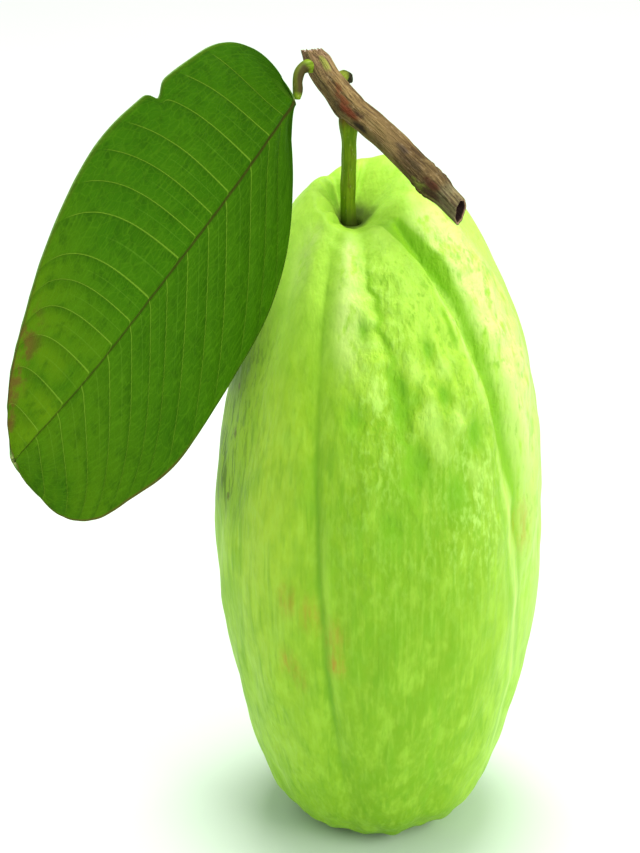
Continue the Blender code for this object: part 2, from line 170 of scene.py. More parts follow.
# Leaf blade: midrib from base to tip, the directions across its two halves, and half widths along it
LEAF_MIDRIB = (
    (-14.6, -4.4, 146.6), (-25.8, -22.0, 135.9), (-37.2, -37.9, 125.5),
    (-48.5, -52.1, 115.2), (-60.5, -64.4, 105.3),
)
UPPER_ACROSS = Vector((-0.231, -0.284, 0.93))
LOWER_ACROSS = Vector((0.261, 0.121, -0.958))
UPPER_HALF = (0.5, 8.7, 17.1, 24.3, 28.3, 30.6, 31.7, 29.9, 25.9, 19.3, 12.5, 4.6, 0.5)
LOWER_HALF = (0.5, 1.8, 12.0, 21.1, 26.4, 28.3, 28.8, 28.4, 25.6, 22.8, 16.5, 6.2, 0.5)
BLADE_WALL = 0.5
BLADE_ROWS = 230
BLADE_COLUMNS = 120
NOTCH_PLACE = 0.34
NOTCH_DEPTH = 2.4

# Where the side veins leave the midrib, in each half, and how far towards the tip they run
UPPER_VEINS = (0.0, 0.04, 0.095, 0.165, 0.25, 0.31, 0.37, 0.43, 0.54, 0.605, 0.67, 0.75, 0.84, 0.92, 1.0)
LOWER_VEINS = (0.0, 0.05, 0.1, 0.17, 0.265, 0.33, 0.405, 0.48, 0.54, 0.61, 0.69, 0.78, 0.86, 0.93, 1.0)
VEIN_STARTS = (0.0, 0.04, 0.1, 0.25, 0.43, 0.55, 0.67, 0.75, 0.85, 1.0)
VEIN_REACHES = (0.08, 0.15, 0.19, 0.2, 0.26, 0.23, 0.19, 0.14, 0.075, 0.0)


def smooth_curve(stations, values, places):
    """Smooth line through values at the stations, read at the places"""
    stations = np.asarray(stations, float)
    values = np.asarray(values, float)
    places = np.clip(np.asarray(places, float), stations[0], stations[-1])
    slopes = np.gradient(values, stations, axis=0)
    piece = np.clip(np.searchsorted(stations, places, side="right") - 1, 0, len(stations) - 2)
    gap = stations[piece + 1] - stations[piece]
    t = (places - stations[piece]) / gap
    if values.ndim > 1:
        t = t[..., None]
        gap = gap[..., None]
    start_weight = 2 * t**3 - 3 * t**2 + 1
    leave_weight = t**3 - 2 * t**2 + t
    arrive_weight = t**3 - t**2
    return (
        start_weight * values[piece]
        + leave_weight * slopes[piece] * gap
        + (1 - start_weight) * values[piece + 1]
        + arrive_weight * slopes[piece + 1] * gap
    )


def length_shares(points):
    """Share of a line's length at each of its points"""
    steps = np.linalg.norm(np.diff(np.asarray(points, float), axis=0), axis=1)
    length = np.concatenate([[0.0], np.cumsum(steps)])
    return length / length[-1]


def ease(value, low, high):
    """Rises smoothly from 0 at low to 1 at high"""
    t = np.clip((np.asarray(value, float) - low) / (high - low), 0.0, 1.0)
    return t * t * (3.0 - 2.0 * t)


def span(value, low, full, fall, gone):
    """Rises smoothly from low to full, and falls away from fall to gone"""
    return ease(value, low, full) * ease(value, gone, fall)


def hump(value, middle, width):
    """A smooth hump, 1 at the middle"""
    return np.exp(-(((value - middle) / width) ** 2))


def grain(places, sizes, seed):
    """Soft noise from -1 to 1 at the places; sizes are its feature sizes in the three directions"""
    scaled = np.asarray(places, float) / np.asarray(sizes, float) + seed
    return np.array([noise.noise(Vector(place)) for place in scaled])


def hold(piece):
    """Selects one piece alone, for the operators"""
    bpy.ops.object.select_all(action="DESELECT")
    piece.select_set(True)
    bpy.context.view_layer.objects.active = piece


def points_of(piece):
    """The piece's points as rows"""
    flat = np.empty(len(piece.data.vertices) * 3)
    piece.data.vertices.foreach_get("co", flat)
    return flat.reshape(-1, 3)


def place_points(piece, places):
    """Puts the piece's points at places given in millimetres"""
    piece.data.vertices.foreach_set("co", (np.asarray(places) * MM).ravel())
    piece.data.update()


def note_values(piece, name, values):
    """Keeps a value, or a vector, for every point of the piece"""
    values = np.asarray(values, float)
    kind = "FLOAT_VECTOR" if values.ndim > 1 else "FLOAT"
    layer = piece.data.attributes.new(name, kind, "POINT")
    layer.data.foreach_set("vector" if values.ndim > 1 else "value", values.ravel())


def note_map(piece, name, across, along, turns=False):
    """A map of the surface from two values at every point; where it turns full circle, its seam is closed"""
    corners = np.empty(len(piece.data.loops), int)
    piece.data.loops.foreach_get("vertex_index", corners)
    u = np.asarray(across, float)[corners]
    v = np.asarray(along, float)[corners]
    if turns:
        starts = np.empty(len(piece.data.polygons), int)
        piece.data.polygons.foreach_get("loop_start", starts)
        counts = np.diff(np.append(starts, len(corners)))
        highest = np.repeat(np.maximum.reduceat(u, starts), counts)
        u = np.where(highest - u > 0.5, u + 1.0, u)
    layer = piece.data.uv_layers.new(name=name)
    layer.data.foreach_set("uv", np.stack([u, v], axis=1).ravel())


def settle(piece, name, node, finish):
    """Names a finished piece, gives it its finish and says what it stands for"""
    piece.name = name
    piece.data.name = name
    piece.data.materials.clear()
    piece.data.materials.append(finish.material)
    hold(piece)
    bpy.ops.object.shade_smooth()
    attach(piece, "root")
    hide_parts(node)


class Wire:
    """A shader socket on which plain arithmetic works: each operator adds its Math node"""

    def __init__(self, finish, socket):
        self.finish = finish
        self.socket = socket

    def math(self, operation, *others):
        return self.finish.node("ShaderNodeMath", {"operation": operation}, (self, *others))

    def __add__(self, other):
        return self.math("ADD", other)

    def __mul__(self, other):
        return self.math("MULTIPLY", other)

    def __sub__(self, other):
        return self.math("SUBTRACT", other)

    def __rsub__(self, other):
        return self.finish.node("ShaderNodeMath", {"operation": "SUBTRACT"}, (other, self))

    def __truediv__(self, other):
        return self.math("DIVIDE", other)

    def __pow__(self, other):
        return self.math("POWER", other)

    def __rpow__(self, other):
        return self.finish.node("ShaderNodeMath", {"operation": "POWER"}, (other, self))

    __radd__ = __add__
    __rmul__ = __mul__

    def between(self, low, high):
        """Rises smoothly from 0 at low to 1 at high"""
        values = {"Value": self, "From Min": low, "From Max": high}
        return self.finish.node("ShaderNodeMapRange", {"interpolation_type": "SMOOTHSTEP"}, values)

    def within(self, low, full, fall, gone):
        """Rises smoothly from low to full, and falls away from fall to gone"""
        return self.between(low, full) * self.between(gone, fall)

    def peak(self, middle, width):
        """A smooth hump, 1 at the middle"""
        off = (self - middle) / width
        return 2.718 ** (0.0 - off * off)

    def part(self, which):
        """One of the three parts of a vector"""
        return self.finish.node("ShaderNodeSeparateXYZ", {}, (self,), which)

    def away_from(self, place):
        """Distance from a place, in the vector's own unit"""
        return self.finish.node("ShaderNodeVectorMath", {"operation": "DISTANCE"}, (self, place), "Value")

    def stretched(self, tall, shift=(0.0, 0.0, 0.0)):
        """The vector with its third part scaled; a small scale draws patterns out along it"""
        values = {"Vector": self, "Scale": (1.0, 1.0, tall), "Location": shift}
        return self.finish.node("ShaderNodeMapping", {}, values)

    def cloud(self, size, detail=2.0, rough=0.5):
        """Soft noise from 0 to 1, with features of about the size"""
        values = {"Vector": self, "Scale": 1.0 / size, "Detail": detail, "Roughness": rough}
        return self.finish.node("ShaderNodeTexNoise", {"noise_dimensions": "3D"}, values, "Fac")

    def cells(self, size, feature="F1"):
        """Distances in a field of scattered cells of about the size"""
        settings = {"voronoi_dimensions": "3D", "feature": feature}
        values = {"Vector": self, "Scale": 1.0 / size}
        return self.finish.node("ShaderNodeTexVoronoi", settings, values, "Distance")


class Finish:
    """A material on one Principled shader; constants are set on the shader's own sockets"""

    def __init__(self, name, **constants):
        self.material = bpy.data.materials.new(name)
        self.material.use_nodes = True
        self.tree = self.material.node_tree
        self.shader = self.tree.nodes["Principled BSDF"]
        self.colour = None
        for socket, value in constants.items():
            self.shader.inputs[socket.replace("_", " ")].default_value = value

    def node(self, kind, settings, values, out=0):
        """Adds a node: its settings first, then the values or links of its sockets"""
        made = self.tree.nodes.new(kind)
        for name, setting in settings.items():
            setattr(made, name, setting)
        pairs = values.items() if isinstance(values, dict) else enumerate(values)
        for key, value in pairs:
            self.join(made.inputs[key], value)
        return Wire(self, made.outputs[out])

    def join(self, socket, value):
        if isinstance(value, Wire):
            self.tree.links.new(value.socket, socket)
        elif socket.type == "RGBA" and len(value) == 3:
            socket.default_value = (*value, 1.0)
        else:
            socket.default_value = value

    def lead(self, **wires):
        """Leads wires into the shader's sockets"""
        for socket, wire in wires.items():
            self.join(self.shader.inputs[socket.replace("_", " ")], wire)

    def here(self, tall=1.0):
        """Place on the object in millimetres, its height scaled"""
        place = self.node("ShaderNodeTexCoord", {}, {}, "Object")
        scale = (1000.0, 1000.0, 1000.0 * tall)
        return self.node("ShaderNodeMapping", {}, {"Vector": place, "Scale": scale})

    def noted(self, name, out="Fac"):
        """A value kept on the piece's points"""
        return self.node("ShaderNodeAttribute", {"attribute_name": name}, {}, out)

    def map_parts(self, name):
        """The two values of a surface map"""
        place = self.node("ShaderNodeUVMap", {"uv_map": name}, {})
        return place.part(0), place.part(1)

    def paint(self, share, under, over):
        """One colour laid over another by a share"""
        return self.node("ShaderNodeMix", {"data_type": "RGBA"}, {0: share, 6: under, 7: over}, 2)

    def coat(self, share, tint):
        """Lays a tint over the coats so far"""
        self.colour = self.paint(share, self.colour, tint)

    def relief(self, height, depth, under=None):
        """Bump of the height; depth in millimetres"""
        values = {"Height": height, "Distance": depth * MM, "Strength": 1.0}
        if under:
            values["Normal"] = under
        return self.node("ShaderNodeBump", {}, values)


def groove_line(groove, way):
    """Bearing of a groove's bottom"""
    return smooth_curve(BEARING_WAYS, (*groove[0], groove[0][-1]), way)


def past(bearing, line):
    """Degrees past a line, from -180 to 180"""
    return (bearing - line + 180.0) % 360.0 - 180.0


def groove_sinks(bearing, way):
    """How deep the grooves sink the skin"""
    sunk = np.zeros(np.broadcast(bearing, way).shape)
    for groove in GROOVES:
        widths = groove[1]
        width = smooth_curve((0.0, WAY_MIDDLE, WAY_RIM, 1.0), (widths[0], widths[0], widths[1], 14.0), way)
        depth = smooth_curve(DEPTH_WAYS, (0.0, *groove[2], 0.5, 0.0), way)
        sunk += depth * np.exp(1.0 - np.hypot(past(bearing, groove_line(groove, way)) / width, 1.0))
    return sunk


def skin_lumps(turn, way):
    """Low swellings that keep the fruit from looking turned"""
    lumps = 0.35 * np.sin(2 * turn + 5 * way + 0.6)
    lumps += 0.22 * np.sin(5 * turn - 9 * way + 1.9)
    lumps += 0.16 * np.sin(11 * turn + 4.0) * np.sin(31 * way + 2 * turn)
    lumps += 0.14 * np.sin(17 * turn - 40 * way + 1.0)
    return lumps * np.sin(np.pi * np.clip(way / 0.9, 0.0, 1.0)) ** 0.7


def warty_share(bearing, way):
    """Where the skin is warty: the front right of the fruit, above its middle"""
    sideways = span(bearing, -26.0, 2.0, 62.0, 100.0)
    return sideways * (0.55 * ease(way, 0.36, 0.5) + 0.45 * ease(way, 0.58, 0.68)) * ease(way, 0.93, 0.86)


def hollow_depths(bearing, way):
    """How deep the small hollows dent the skin"""
    dent = np.zeros(np.broadcast(bearing, way).shape)
    for bearing_there, way_there, radius, depth in HOLLOWS:
        sideways = past(bearing, bearing_there) * 0.42
        upwards = (way - way_there) * 72.0
        dent += 1.3 * depth * np.exp(-(sideways**2 + upwards**2) / radius**2)
    return dent


def furrow_shade_share(bearing, way):
    """Where painted shade darkens the skin: the main furrow, its branch and the jagged one beside it"""
    off = past(bearing, groove_line(GROOVES[0], way))
    middle = np.interp(way, (0.7, 0.82, 0.86, 0.9, 0.93, 0.96), (0.0, 3.0, 2.0, -3.0, -7.0, -8.0))
    half_ways = (0.45, 0.6, 0.7, 0.78, 0.82, 0.845, 0.88, 0.93)
    half = np.interp(way, half_ways, (1.2, 1.6, 2.2, 1.5, 1.4, 4.0, 7.0, 11.0))
    off = off - middle
    share = ease(off, -half - 1.6, -half + 1.0) * ease(off, half + 3.0, half - 1.2)
    share *= span(way, 0.36, 0.54, 0.93, 0.965) * (0.8 + 0.2 * ease(way, 0.79, 0.84))
    branch = hump(off, -12.5, 1.8) * span(way, 0.735, 0.765, 0.79, 0.815)
    second = past(bearing, groove_line(GROOVES[1], way))
    beside = second + 1.2 * np.sin(90.0 * way) + 0.8 * np.sin(210.0 * way)
    jagged = 0.85 * hump(beside, 0.5, 2.2) * span(way, 0.47, 0.6, 0.84, 0.94)
    crease = 0.55 * hump(second + np.sin(70.0 * way), 1.0, 1.7) * span(way, 0.1, 0.14, 0.26, 0.36)
    return np.maximum(np.maximum(share, branch), np.maximum(jagged, crease))


def fine_relief(turn, way, round_place):
    """Relief finer than the solid's: creases, ledges, hollows and warty lumps"""
    bearing = np.degrees(turn)
    long_groove = past(bearing, groove_line(GROOVES[2], way))
    crease = ease(way, 0.1, 0.24) * (0.3 + 0.7 * ease(way, 0.72, 0.6)) * ease(way, 0.92, 0.86)
    relief = -0.35 * hump(long_groove, 0.0, 2.4) * crease
    relief += 0.22 * hump(long_groove, 3.0, 1.6) * span(way, 0.3, 0.4, 0.5, 0.62)
    deep_groove = past(bearing, groove_line(GROOVES[0], way))
    relief -= 0.85 * hump(deep_groove, -1.0, 3.2) * span(way, 0.5, 0.62, 0.9, 0.95)
    relief += 0.45 * hump(deep_groove, 8.0, 4.0) * span(way, 0.55, 0.7, 0.88, 0.95)
    relief -= hollow_depths(bearing, way)
    relief -= 0.3 * hump(deep_groove, -12.5, 2.0) * span(way, 0.73, 0.76, 0.79, 0.82)
    warty = warty_share(bearing, way)
    lumps = grain(round_place, (4.2, 4.2, 6.5), 3.1)
    warts = grain(round_place, (2.0, 2.0, 3.4), 8.7)
    relief += (0.16 + 0.46 * warty) * lumps + (0.05 + 0.34 * warty) * warts
    folds = ease(way, 0.925, 0.955) * span(past(bearing, -110.0), -95.0, -60.0, 60.0, 95.0)
    uneven = 0.6 + 0.4 * np.sin(0.09 * bearing)
    relief += 0.7 * folds * np.sin(0.26 * bearing + 4.0 * np.sin(9.0 * way)) * uneven
    collar = span(way, 0.1, 0.05, 0.03, 0.012)
    relief += 0.6 * collar * grain(round_place, (3.0, 3.0, 2.6), 5.3)
    return relief


def fruit_rings():
    """Radius, height, way and outward direction of the outline at every ring of the fruit"""
    ways = np.linspace(0.0, 1.0, RINGS + 1 - len(RECESS) - len(SOCKET))
    body = smooth_curve(length_shares(FRUIT_OUTLINE), FRUIT_OUTLINE, ways)
    steps = np.gradient(body, axis=0)
    outward = np.stack([steps[:, 1], -steps[:, 0]], axis=1)
    outward /= np.linalg.norm(outward, axis=1)[:, None]
    places = np.vstack([RECESS, body, SOCKET])
    all_ways = np.concatenate([np.zeros(len(RECESS)), ways, np.ones(len(SOCKET))])
    still = np.zeros((len(RECESS), 2)), np.zeros((len(SOCKET), 2))
    return places, all_ways, np.vstack([still[0], outward, still[1]])


def lean_fruit(place, turn, way):
    """Drift of the fruit's middle and slant of its rim"""
    place[:, 0] += smooth_curve(
        (0.0, 0.05, 0.2, 0.45, WAY_SHOULDER, WAY_RIM, 1.0), (0.0, 0.6, 1.0, 0.9, 0.8, -1.8, CAVITY_X), way
    )
    place[:, 1] += smooth_curve((0.0, WAY_SHOULDER, WAY_RIM, 1.0), (0.0, 0.0, -1.6, CAVITY_Y), way)
    near_rim = smooth_curve((0.0, 0.62, 0.8, WAY_RIM, 0.97, 1.0), (0.0, 0.0, 0.6, 1.0, 0.3, 0.0), way)
    inside_rim = smooth_curve((0.0, 0.84, 0.89, 0.94, 0.975, 1.0), (0.0, 0.0, 0.3, 1.0, 0.6, 0.0), way)
    past_dip = past(np.degrees(turn), RIM_DIP_BEARING)
    place[:, 2] -= RIM_SLANT * near_rim * np.cos(turn - np.radians(RIM_SLANT_BEARING))
    place[:, 2] -= RIM_DIP * near_rim * hump(past_dip, 0.0, RIM_DIP_SPREAD)
    place[:, 2] -= FRONT_DIP * inside_rim * hump(np.degrees(turn), FRONT_DIP_BEARING, FRONT_DIP_SPREAD)
    return place


def fruit_surface(turn, ring):
    """Places of the fruit's points from their bearing and ring, with the values that its finish reads"""
    outline, ways, outward = fruit_rings()
    way = ways[ring]
    bearing = np.degrees(turn)
    sideways = np.stack([np.sin(turn), -np.cos(turn)], axis=1)
    radius, height = outline[ring].T
    round_place = np.column_stack([sideways * radius[:, None], height])
    swell = smooth_curve(
        (0.0, WAY_FOOT, WAY_MIDDLE, WAY_SHOULDER, WAY_RIM, 1.0), (0.0, 0.5, 0.75, 0.3, 1.55, 0.0), way
    )
    sunk = groove_sinks(bearing, way)
    change = swell - sunk + skin_lumps(turn, way) + fine_relief(turn, way, round_place) * ease(way, 1.0, 0.95)
    change *= np.clip(way / 0.05, 0.0, 1.0) * (way < 1.0)
    change += 0.35 * np.sin(7 * turn + 0.8) * hump(way, 0.02, 0.02) * (way > 0.0)
    radius = radius + outward[ring, 0] * change
    height = height + outward[ring, 1] * change
    place = lean_fruit(np.column_stack([sideways * radius[:, None], height]), turn, way)
    place[:, 2] = np.maximum(place[:, 2], 0.0)
    return place, way, sunk


def fruit_spot(bearing, way, tall):
    """Place of a mark on the fruit in millimetres, its height scaled"""
    ring = len(RECESS) + int(round(way * (RINGS - len(RECESS) - len(SOCKET))))
    place, _, _ = fruit_surface(np.array([np.radians(bearing)]), np.array([ring]))
    return place[0, 0], place[0, 1], place[0, 2] * tall


def make_guava_skin():
    """Finish of the fruit: waxy lime green, warty front right, painted highlight on lobes, painted shade in
    furrows
    """
    finish = Finish(
        "guava_skin",
        Subsurface_Weight=0.08,
        Subsurface_Radius=(0.6, 1.0, 0.15),
        Subsurface_Scale=0.003,
        Specular_IOR_Level=0.22,
    )
    turn, way = finish.map_parts("skin_map")
    bearing = (turn - 0.5) * 360.0
    here = finish.here()
    tall = finish.here(MARK_HEIGHT)
    streaky = finish.here(0.07)
    furrow, warty, lobe = (finish.noted(name) for name in ("furrow", "warty", "lobe"))

    clouds = tall.cloud(13.0, 3.0)
    blots = tall.cloud(3.4, 3.0, 0.55)
    grains = finish.here(0.42).cloud(0.8, 3.0, 0.55)
    streaks = streaky.cloud(1.5, 3.0, 0.6)
    fibres = finish.here(0.04).cloud(0.9, 2.0, 0.5)
    warts = finish.here(0.5).cloud(1.7, 3.0, 0.5)
    flecks = (0.45 * warts + 0.55 * grains + 0.4 * (blots - 0.5)).between(0.47, 0.66)
    highlight_patch = bearing.peak(35.0, 11.0) * way.peak(0.545, 0.085)
    lumpy = 0.35 + 0.65 * (bearing.peak(-4.0, 10.0) * way.between(0.5, 0.62) + highlight_patch)
    dimple_shade = (0.5 * warts + 0.5 * grains + 0.5 * (blots - 0.5)).between(0.46, 0.34)

    low = way.between(0.74, 0.56)
    lit_crown = way.between(0.66, 0.88)
    centre = bearing.peak(12.0, 40.0)
    right = bearing.within(38.0, 72.0, 100.0, 135.0)
    finish.colour = finish.paint(clouds.between(0.3, 0.7), (0.3, 0.54, 0.015), (0.38, 0.62, 0.03))
    # Painted shade: the front darker green towards the bottom
    finish.coat(centre * low * 0.9, (0.2, 0.39, 0.005))
    # Painted light: the left middle lightened where the leaf shades it
    left = bearing.peak(-48.0, 20.0) * way.peak(0.5, 0.22)
    finish.coat(left * 0.6, (0.5, 0.66, 0.035))
    # Painted light: the crown lighter as lit from above, the right side lighter as lit from the right
    finish.coat(lit_crown * 0.85, (0.47, 0.78, 0.08))
    finish.coat(right * (0.6 + 0.4 * lit_crown) * 0.75, (0.46, 0.76, 0.1))
    finish.coat(blots.between(0.42, 0.66) * (0.24 + 0.18 * low), (0.18, 0.41, 0.006))
    finish.coat(blots.between(0.5, 0.32) * 0.3, (0.46, 0.74, 0.07))
    finish.coat(streaks.between(0.48, 0.7) * (0.2 + 0.35 * low), (0.18, 0.4, 0.006))
    finish.coat(fibres.between(0.45, 0.75) * 0.25, (0.48, 0.72, 0.07))
    # Painted highlight: pale patches on the lobes' crests
    finish.coat(lobe * 0.8 * (streaks + blots).between(0.7, 1.05), (0.72, 0.86, 0.28))
    # Painted shade in the furrows
    finish.coat(furrow * 0.4, (0.24, 0.52, 0.01))
    # Pale specks of the skin, and painted highlights on the wart tops in the warty zone
    finish.coat((0.08 + 0.8 * warty * lumpy) * flecks * 0.75, (0.54, 0.84, 0.14))
    # Painted highlight: pale flecks on the bright bumps at the right middle
    highlight_flecks = highlight_patch * (grains + 0.5 * (streaks - 0.5)).between(0.44, 0.76)
    finish.coat(highlight_flecks * 0.5, (0.6, 0.88, 0.2))
    # Painted shade in the dips between the warts
    finish.coat((0.15 + 0.7 * warty) * dimple_shade * 0.6, (0.18, 0.43, 0.006))
    # Painted shade in the hollows, painted highlight on the raised bumps
    finish.coat(finish.noted("hollow") * 0.9, (0.17, 0.43, 0.005))
    finish.coat(finish.noted("bump") * 0.4, (0.6, 0.85, 0.18))
    # Painted shade along the main furrow, its branch and the jagged furrow beside it
    ragged_furrow_shade = finish.noted("fold") + 0.35 * (grains - 0.5) + 0.25 * (blots - 0.5)
    finish.coat(ragged_furrow_shade.between(0.05, 1.0) * 0.9, (0.215, 0.48, 0.007))

    # Painted shade in the long crease, painted highlight on the ridge beside it
    line = finish.noted("crease") + 1.2 * (blots - 0.5)
    crease = line.peak(0.0, 1.2) * way.within(0.12, 0.28, 0.84, 0.9)
    crease = crease * (0.45 + 0.55 * way.between(0.72, 0.56))
    finish.coat(crease * 0.6, (0.15, 0.37, 0.006))
    ridge = line.peak(3.0, 1.4) * way.within(0.22, 0.32, 0.44, 0.56)
    finish.coat(ridge * 0.4, (0.46, 0.72, 0.07))
    # Low on the right: painted highlight on a ridge, painted shade in the creases beside it
    beside = finish.noted("beside") + 2.6 * (streaks - 0.5)
    low_right = way.within(0.64, 0.52, 0.26, 0.1)
    right_ridge_highlight = beside.peak(-5.0, 1.7) * (0.4 + 0.6 * streaks.between(0.4, 0.6))
    finish.coat(right_ridge_highlight * low_right * 0.55, (0.66, 0.86, 0.2))
    right_crease_shade = beside.peak(-9.5, 1.5) + beside.peak(-0.5, 1.3)
    finish.coat(right_crease_shade * low_right * 0.5, (0.22, 0.48, 0.008))

    # Painted shade down the left side
    left_side_shade = bearing.peak(-80.0, 22.0) * way.within(0.44, 0.54, 0.7, 0.8)
    finish.coat(left_side_shade * 0.8, (0.2, 0.34, 0.008))
    # Painted shadow of the leaf on the fruit
    leaf_shadow = bearing.peak(-76.0, 13.0) * way.within(0.6, 0.68, 0.76, 0.86)
    finish.coat(leaf_shadow * 0.95, (0.065, 0.13, 0.003))
    # Darker streaks laid into the painted shade of the left side
    dark_streaks = streaky.cloud(0.8, 4.0, 0.7).between(0.48, 0.6)
    finish.coat(left_side_shade * dark_streaks * 0.85, (0.065, 0.13, 0.003))

    ragged = here.cloud(1.1, 4.0, 0.7)
    smear = finish.here(0.16).cloud(1.1, 3.0, 0.6)
    for bearing_there, way_there, radius, strength in BLUSHES:
        off = tall.away_from(fruit_spot(bearing_there, way_there, MARK_HEIGHT))
        blush = (off + radius * 0.7 * (ragged - 0.5)).between(radius * 1.15, 0.0)
        blush = blush * (0.25 + 0.75 * smear.between(0.38, 0.64))
        finish.coat(blush * strength, (0.47, 0.27, 0.025))
    for bearing_there, way_there, radius in SPOTS:
        off = tall.away_from(fruit_spot(bearing_there, way_there, MARK_HEIGHT))
        spot = (off + radius * 1.6 * (ragged - 0.5)).between(radius, radius * 0.2)
        finish.coat(spot * 0.75, (0.09, 0.085, 0.012))

    # Painted shade inside the cavity
    inside = (way + 0.04 * (streaks - 0.5)).between(0.915, 0.95)
    finish.coat(inside * 0.3, (0.32, 0.62, 0.02))
    finish.coat(way.between(0.035, 0.004) * 0.8, (0.16, 0.2, 0.03))
    # Painted shade around the stalk's socket
    socket = (way + 0.02 * (blots - 0.5)).between(0.972, 0.995)
    finish.coat(socket * 0.9, (0.07, 0.11, 0.012))
    finish.lead(Base_Color=finish.colour, Roughness=0.42 + 0.16 * blots - 0.06 * lobe + 0.12 * furrow)
    height = grains * (0.3 + 0.7 * warty) + 3.2 * warty * warts + 1.8 * blots + 0.5 * streaks + 0.2 * fibres
    finish.lead(Normal=finish.relief(height - 0.5 * crease, 0.22))
    return finish


def make_fruit():
    """The fruit: a round body of rings, pulled in code to its ribbed, slanting, warty form"""
    bpy.ops.object.select_all(action="DESELECT")
    bpy.ops.mesh.primitive_uv_sphere_add(segments=AROUND, ring_count=RINGS, radius=1.0, calc_uvs=False)
    fruit = bpy.context.object
    ball = points_of(fruit)
    turn = np.arctan2(ball[:, 0], -ball[:, 1])
    ring = np.rint(np.arccos(np.clip(-ball[:, 2], -1.0, 1.0)) * RINGS / np.pi).astype(int)
    place, way, sunk = fruit_surface(turn, ring)
    place_points(fruit, place)
    bearing = np.degrees(turn)
    dents = hollow_depths(bearing, way)
    off_main = past(bearing, groove_line(GROOVES[0], way))
    # Lobe crests, which the finish paints paler as painted highlight
    lobe = hump(off_main, 14.0, 9.0) * ease(way, 0.5, 0.72)
    lobe += 0.7 * hump(off_main, -6.0, 2.4) * span(way, 0.62, 0.74, 0.8, 0.86)
    lobe += 0.9 * hump(bearing, -15.0, 7.0) * ease(way, 0.68, 0.8)
    lobe += 0.6 * hump(bearing, -52.0, 9.0) * ease(way, 0.78, 0.88)
    lobe += 0.6 * hump(bearing, 72.0, 22.0) * ease(way, 0.2, 0.5)
    notes = {
        # furrow, fold, hollow and crease mark where the finish paints shade; bump and lobe where it paints
        # highlight
        "furrow": np.clip(sunk / 2.6 - 0.12, 0.0, 1.0) * ease(way, 0.25, 0.55),
        "fold": furrow_shade_share(bearing, way),
        "hollow": np.clip(dents / 0.5, 0.0, 1.0),
        "bump": np.clip(-dents / 0.4, 0.0, 1.0),
        "warty": warty_share(bearing, way),
        "lobe": np.clip(lobe * ease(way, 0.94, 0.9), 0.0, 1.0),
        "beside": off_main,
        "crease": past(bearing, groove_line(GROOVES[2], way)),
    }
    for name, values in notes.items():
        note_values(fruit, name, values)
    note_map(fruit, "skin_map", turn / (2 * np.pi) + 0.5, way, turns=True)
    settle(fruit, "guava_fruit", "fruit", make_guava_skin())


def rod_frames(line, places):
    """Centres and directions of a rod at its places, with two directions across it that don't twist"""
    stations = length_shares(line)
    centres = smooth_curve(stations, line, places)
    ahead = smooth_curve(stations, line, np.minimum(places + 0.01, 1.0))
    behind = smooth_curve(stations, line, np.maximum(places - 0.01, 0.0))
    side = Vector((0.3, 1.0, 0.2))
    forwards, sides, ups = [], [], []
    for step in ahead - behind:
        forward = Vector(step).normalized()
        side = (side - forward * side.dot(forward)).normalized()
        forwards.append(forward)
        sides.append(side.copy())
        ups.append(forward.cross(side))
    return centres, np.array(forwards), np.array(sides), np.array(ups)


def start_rod(around, rings):
    """A closed round rod with its rings cut in, and the turn, ring and reach of its points"""
    bpy.ops.object.select_all(action="DESELECT")
    bpy.ops.mesh.primitive_cylinder_add(vertices=around, radius=1.0, depth=1.0, end_fill_type="TRIFAN")
    rod = bpy.context.object
    bpy.ops.object.mode_set(mode="EDIT")
    bpy.ops.mesh.select_all(action="DESELECT")
    bpy.ops.mesh.select_mode(type="EDGE")
    cage = bmesh.from_edit_mesh(rod.data)
    for edge in cage.edges:
        edge.select = abs(edge.verts[0].co.z - edge.verts[1].co.z) > 0.5
    bmesh.update_edit_mesh(rod.data)
    bpy.ops.mesh.subdivide(number_cuts=rings - 2)
    bpy.ops.object.mode_set(mode="OBJECT")
    place = points_of(rod)
    turn = np.arctan2(place[:, 1], place[:, 0])
    ring = np.rint((place[:, 2] + 0.5) * (rings - 1)).astype(int)
    return rod, turn, ring, np.hypot(place[:, 0], place[:, 1])


def rod_steps(count, first, last):
    """Places, factors and forwards of a rod's rings: its end rings have a factor and a forward each"""
    places = np.concatenate([np.zeros(len(first)), np.linspace(0.0, 1.0, count), np.ones(len(last))])
    factors, forwards = np.array([*first, *[(1.0, 0.0)] * count, *last]).T
    return places, factors, forwards


def shape_rod(line, around, places, factors, forwards, radius_at, slope=None):
    """A rod along a line: factors thin its rings and forwards push them along, for its ends and hollows"""
    rod, turn, ring, reach = start_rod(around, len(places))
    centres, ahead, sides, ups = rod_frames(line, places)
    radius = radius_at(turn, places[ring]) * factors[ring] * reach
    place = centres[ring] + (np.cos(turn) * radius)[:, None] * sides[ring]
    place += (np.sin(turn) * radius)[:, None] * ups[ring]
    length = np.linalg.norm(np.diff(np.asarray(line, float), axis=0), axis=1).sum()
    along = places[ring] * length + forwards[ring]
    shift = forwards[ring]
    if slope:
        shift = shift + slope(place - centres[ring], turn, ring, ahead[ring])
    place += shift[:, None] * ahead[ring]
    place_points(rod, place)
    coords = np.column_stack([np.cos(turn) * radius, np.sin(turn) * radius, along])
    note_values(rod, "along_rod", coords)
    note_values(rod, "rod_place", places[ring])
    note_values(rod, "rod_reach", reach * factors[ring])
    hold(rod)
    bpy.ops.object.mode_set(mode="EDIT")
    bpy.ops.mesh.select_all(action="SELECT")
    bpy.ops.mesh.normals_make_consistent(inside=False)
    bpy.ops.object.mode_set(mode="OBJECT")
    return rod


